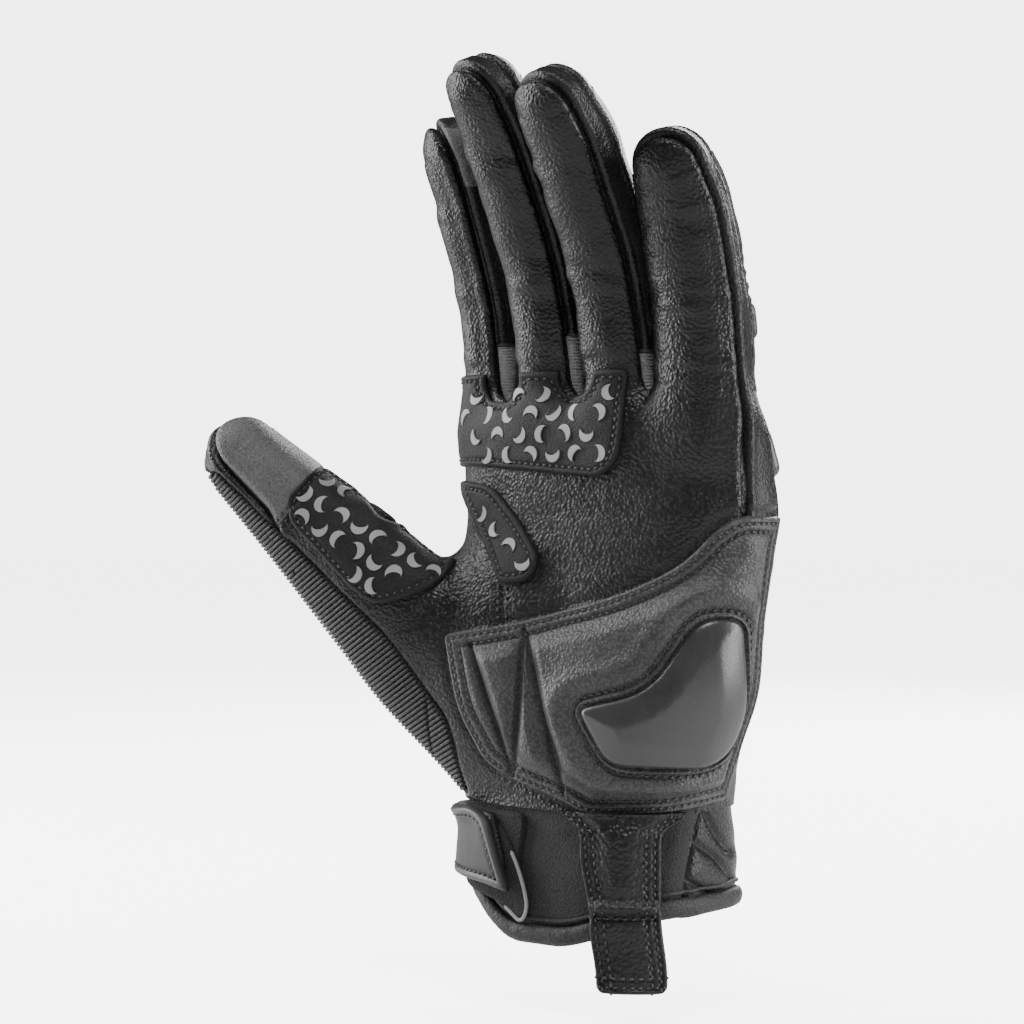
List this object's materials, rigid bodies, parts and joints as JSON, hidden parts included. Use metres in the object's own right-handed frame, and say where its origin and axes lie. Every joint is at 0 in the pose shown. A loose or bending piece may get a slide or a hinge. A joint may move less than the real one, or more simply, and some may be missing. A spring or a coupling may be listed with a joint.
{
  "type": "riding glove",
  "caption": "Left motorcycle riding glove of leather and neoprene with a padded palm heel, hard slider, grip patches, jointed fingers and thumb, wrist strap and pull strap.",
  "frame": {"origin": "centre of the wrist opening, in the plane of the hem's lowest edge", "axes": "+Z from the wrist opening to the fingertips, -Y out of the palm, +X towards the little finger's side"},
  "size_m": [0.1487, 0.0787, 0.2265],
  "materials": {
    "palm_leather": "fine-grained dark grey goat leather, satin",
    "back_leather": "smooth black cow leather, satin",
    "stretch": "ribbed elastic fabric, matt",
    "gusset": "light grey ribbed stretch fabric, matt",
    "neoprene": "neoprene with a knitted face, matt",
    "grip": "coated fabric with light grey printed grip marks",
    "slider": "moulded thermoplastic, glossy grey",
    "rubber": "moulded rubber, satin",
    "hook_and_loop": "hook and loop tape, matt black pile",
    "lining": "thin knitted lining, matt",
    "foam": "soft padding foam",
    "binding": "smooth leather edge binding, satin"
  },
  "bodies": {
    "hand": {"palm_leather": "palm_leather", "back_leather": "back_leather", "thumb_stretch_panel": "stretch", "hand_lining": "lining", "cuff_front": "neoprene", "cuff_back": "neoprene", "hem_binding": "binding", "heel_overlay": "back_leather", "heel_foam": "foam", "heel_slider": "slider", "thumb_crotch_patch": "grip", "wrist_strap": "back_leather", "strap_keeper_pad": "neoprene", "strap_loop_panel": "hook_and_loop", "pull_strap_root": "back_leather"},
    "strap_tail": {"strap_tail": "back_leather", "strap_hook_pad": "hook_and_loop", "strap_pull_tab": "rubber"},
    "pull_strap": {"pull_strap_end": "back_leather"},
    "knuckles": {"knuckle_palm_leather": "palm_leather", "knuckle_back_leather": "back_leather", "finger_base_grip_patch": "grip", "knuckle_foam": "foam", "knuckle_guard": "slider", "gusset_index_middle": "gusset", "gusset_middle_ring": "gusset", "gusset_ring_little": "gusset"},
    "thumb_base": {"thumb_base_front": "palm_leather", "thumb_base_back": "stretch", "thumb_grip_patch": "grip"},
    "thumb_tip": {"thumb_tip_front": "palm_leather", "thumb_tip_back": "back_leather"},
    "index_base": {"index_base_front": "palm_leather", "index_base_back": "back_leather", "index_armour": "rubber"},
    "index_middle": {"index_middle_front": "palm_leather", "index_middle_back": "back_leather"},
    "index_tip": {"index_tip_front": "palm_leather", "index_tip_back": "back_leather"},
    "middle_base": {"middle_base_front": "palm_leather", "middle_base_back": "back_leather", "middle_armour": "rubber"},
    "middle_middle": {"middle_middle_front": "palm_leather", "middle_middle_back": "back_leather"},
    "middle_tip": {"middle_tip_front": "palm_leather", "middle_tip_back": "back_leather"},
    "ring_base": {"ring_base_front": "palm_leather", "ring_base_back": "back_leather", "ring_armour": "rubber"},
    "ring_middle": {"ring_middle_front": "palm_leather", "ring_middle_back": "back_leather"},
    "ring_tip": {"ring_tip_front": "palm_leather", "ring_tip_back": "back_leather"},
    "little_base": {"little_base_front": "palm_leather", "little_base_back": "back_leather", "little_armour": "rubber"},
    "little_middle": {"little_middle_front": "palm_leather", "little_middle_back": "back_leather"},
    "little_tip": {"little_tip_front": "palm_leather", "little_tip_back": "back_leather"}
  },
  "joints": [
    {"name": "knuckle_fold", "type": "hinge", "parent": "hand", "child": "knuckles", "pos_m": [0.002, -0.004, 0.107], "axis": [0.9816, 0, -0.1908], "range_deg": [-8, 35], "stiffness_Nm_per_rad": 2},
    {"name": "index_base_bend", "type": "hinge", "parent": "knuckles", "child": "index_base", "pos_m": [-0.02949, -0.00249, 0.14273], "axis": [0.999, 0, 0.0436], "range_deg": [-8, 40], "stiffness_Nm_per_rad": 0.2},
    {"name": "index_middle_bend", "type": "hinge", "parent": "index_base", "child": "index_middle", "pos_m": [-0.03028, -0.00537, 0.16096], "axis": [0.999, 0, 0.0436], "range_deg": [-8, 55], "stiffness_Nm_per_rad": 0.12},
    {"name": "index_tip_bend", "type": "hinge", "parent": "index_middle", "child": "index_tip", "pos_m": [-0.03129, -0.01378, 0.18403], "axis": [0.999, 0, 0.0436], "range_deg": [-8, 35], "stiffness_Nm_per_rad": 0.05},
    {"name": "middle_base_bend", "type": "hinge", "parent": "knuckles", "child": "middle_base", "pos_m": [-0.00848, -0.00796, 0.14351], "axis": [0.9994, 0, 0.0349], "range_deg": [-8, 40], "stiffness_Nm_per_rad": 0.2},
    {"name": "middle_middle_bend", "type": "hinge", "parent": "middle_base", "child": "middle_middle", "pos_m": [-0.00928, -0.01321, 0.16633], "axis": [0.9994, 0, 0.0349], "range_deg": [-8, 55], "stiffness_Nm_per_rad": 0.12},
    {"name": "middle_tip_bend", "type": "hinge", "parent": "middle_middle", "child": "middle_tip", "pos_m": [-0.01021, -0.02615, 0.19282], "axis": [0.9994, 0, 0.0349], "range_deg": [-8, 35], "stiffness_Nm_per_rad": 0.05},
    {"name": "ring_base_bend", "type": "hinge", "parent": "knuckles", "child": "ring_base", "pos_m": [0.01251, -0.00895, 0.14246], "axis": [0.9998, 0, 0.0175], "range_deg": [-8, 40], "stiffness_Nm_per_rad": 0.2},
    {"name": "ring_middle_bend", "type": "hinge", "parent": "ring_base", "child": "ring_middle", "pos_m": [0.01213, -0.01435, 0.1642], "axis": [0.9998, 0, 0.0175], "range_deg": [-8, 55], "stiffness_Nm_per_rad": 0.12},
    {"name": "ring_tip_bend", "type": "hinge", "parent": "ring_middle", "child": "ring_tip", "pos_m": [0.01168, -0.02798, 0.1898], "axis": [0.9998, 0, 0.0175], "range_deg": [-8, 35], "stiffness_Nm_per_rad": 0.05},
    {"name": "little_base_bend", "type": "hinge", "parent": "knuckles", "child": "little_base", "pos_m": [0.03479, -0.00798, 0.14069], "axis": [0.9998, 0, -0.0175], "range_deg": [-8, 40], "stiffness_Nm_per_rad": 0.2},
    {"name": "little_middle_bend", "type": "hinge", "parent": "little_base", "child": "little_middle", "pos_m": [0.03508, -0.01085, 0.15697], "axis": [0.9998, 0, -0.0175], "range_deg": [-8, 55], "stiffness_Nm_per_rad": 0.12},
    {"name": "little_tip_bend", "type": "hinge", "parent": "little_middle", "child": "little_tip", "pos_m": [0.0354, -0.01723, 0.17549], "axis": [0.9998, 0, -0.0175], "range_deg": [-8, 35], "stiffness_Nm_per_rad": 0.05},
    {"name": "thumb_base_bend", "type": "hinge", "parent": "hand", "child": "thumb_base", "pos_m": [-0.05132, -0.02687, 0.08246], "axis": [0.7227, 0.0407, 0.6899], "range_deg": [-8, 30], "stiffness_Nm_per_rad": 0.3},
    {"name": "thumb_tip_bend", "type": "hinge", "parent": "thumb_base", "child": "thumb_tip", "pos_m": [-0.07132, -0.03487, 0.10296], "axis": [0.7093, 0.0348, 0.7041], "range_deg": [-8, 45], "stiffness_Nm_per_rad": 0.1},
    {"name": "strap_peel", "type": "hinge", "parent": "hand", "child": "strap_tail", "pos_m": [-0.03018, 0.02055, 0.023], "axis": [0, 0, -1], "range_deg": [0, 100]},
    {"name": "pull_strap_swing", "type": "hinge", "parent": "hand", "child": "pull_strap", "pos_m": [0.0261, -0.02528, 0.01085], "axis": [-0.788, -0.6157, 0], "range_deg": [0, 110]}
  ],
  "couplings": [
    {"joint": "index_tip_bend", "follows": "index_middle_bend", "ratio": 0.6},
    {"joint": "middle_tip_bend", "follows": "middle_middle_bend", "ratio": 0.6},
    {"joint": "ring_tip_bend", "follows": "ring_middle_bend", "ratio": 0.6},
    {"joint": "little_tip_bend", "follows": "little_middle_bend", "ratio": 0.6}
  ]
}
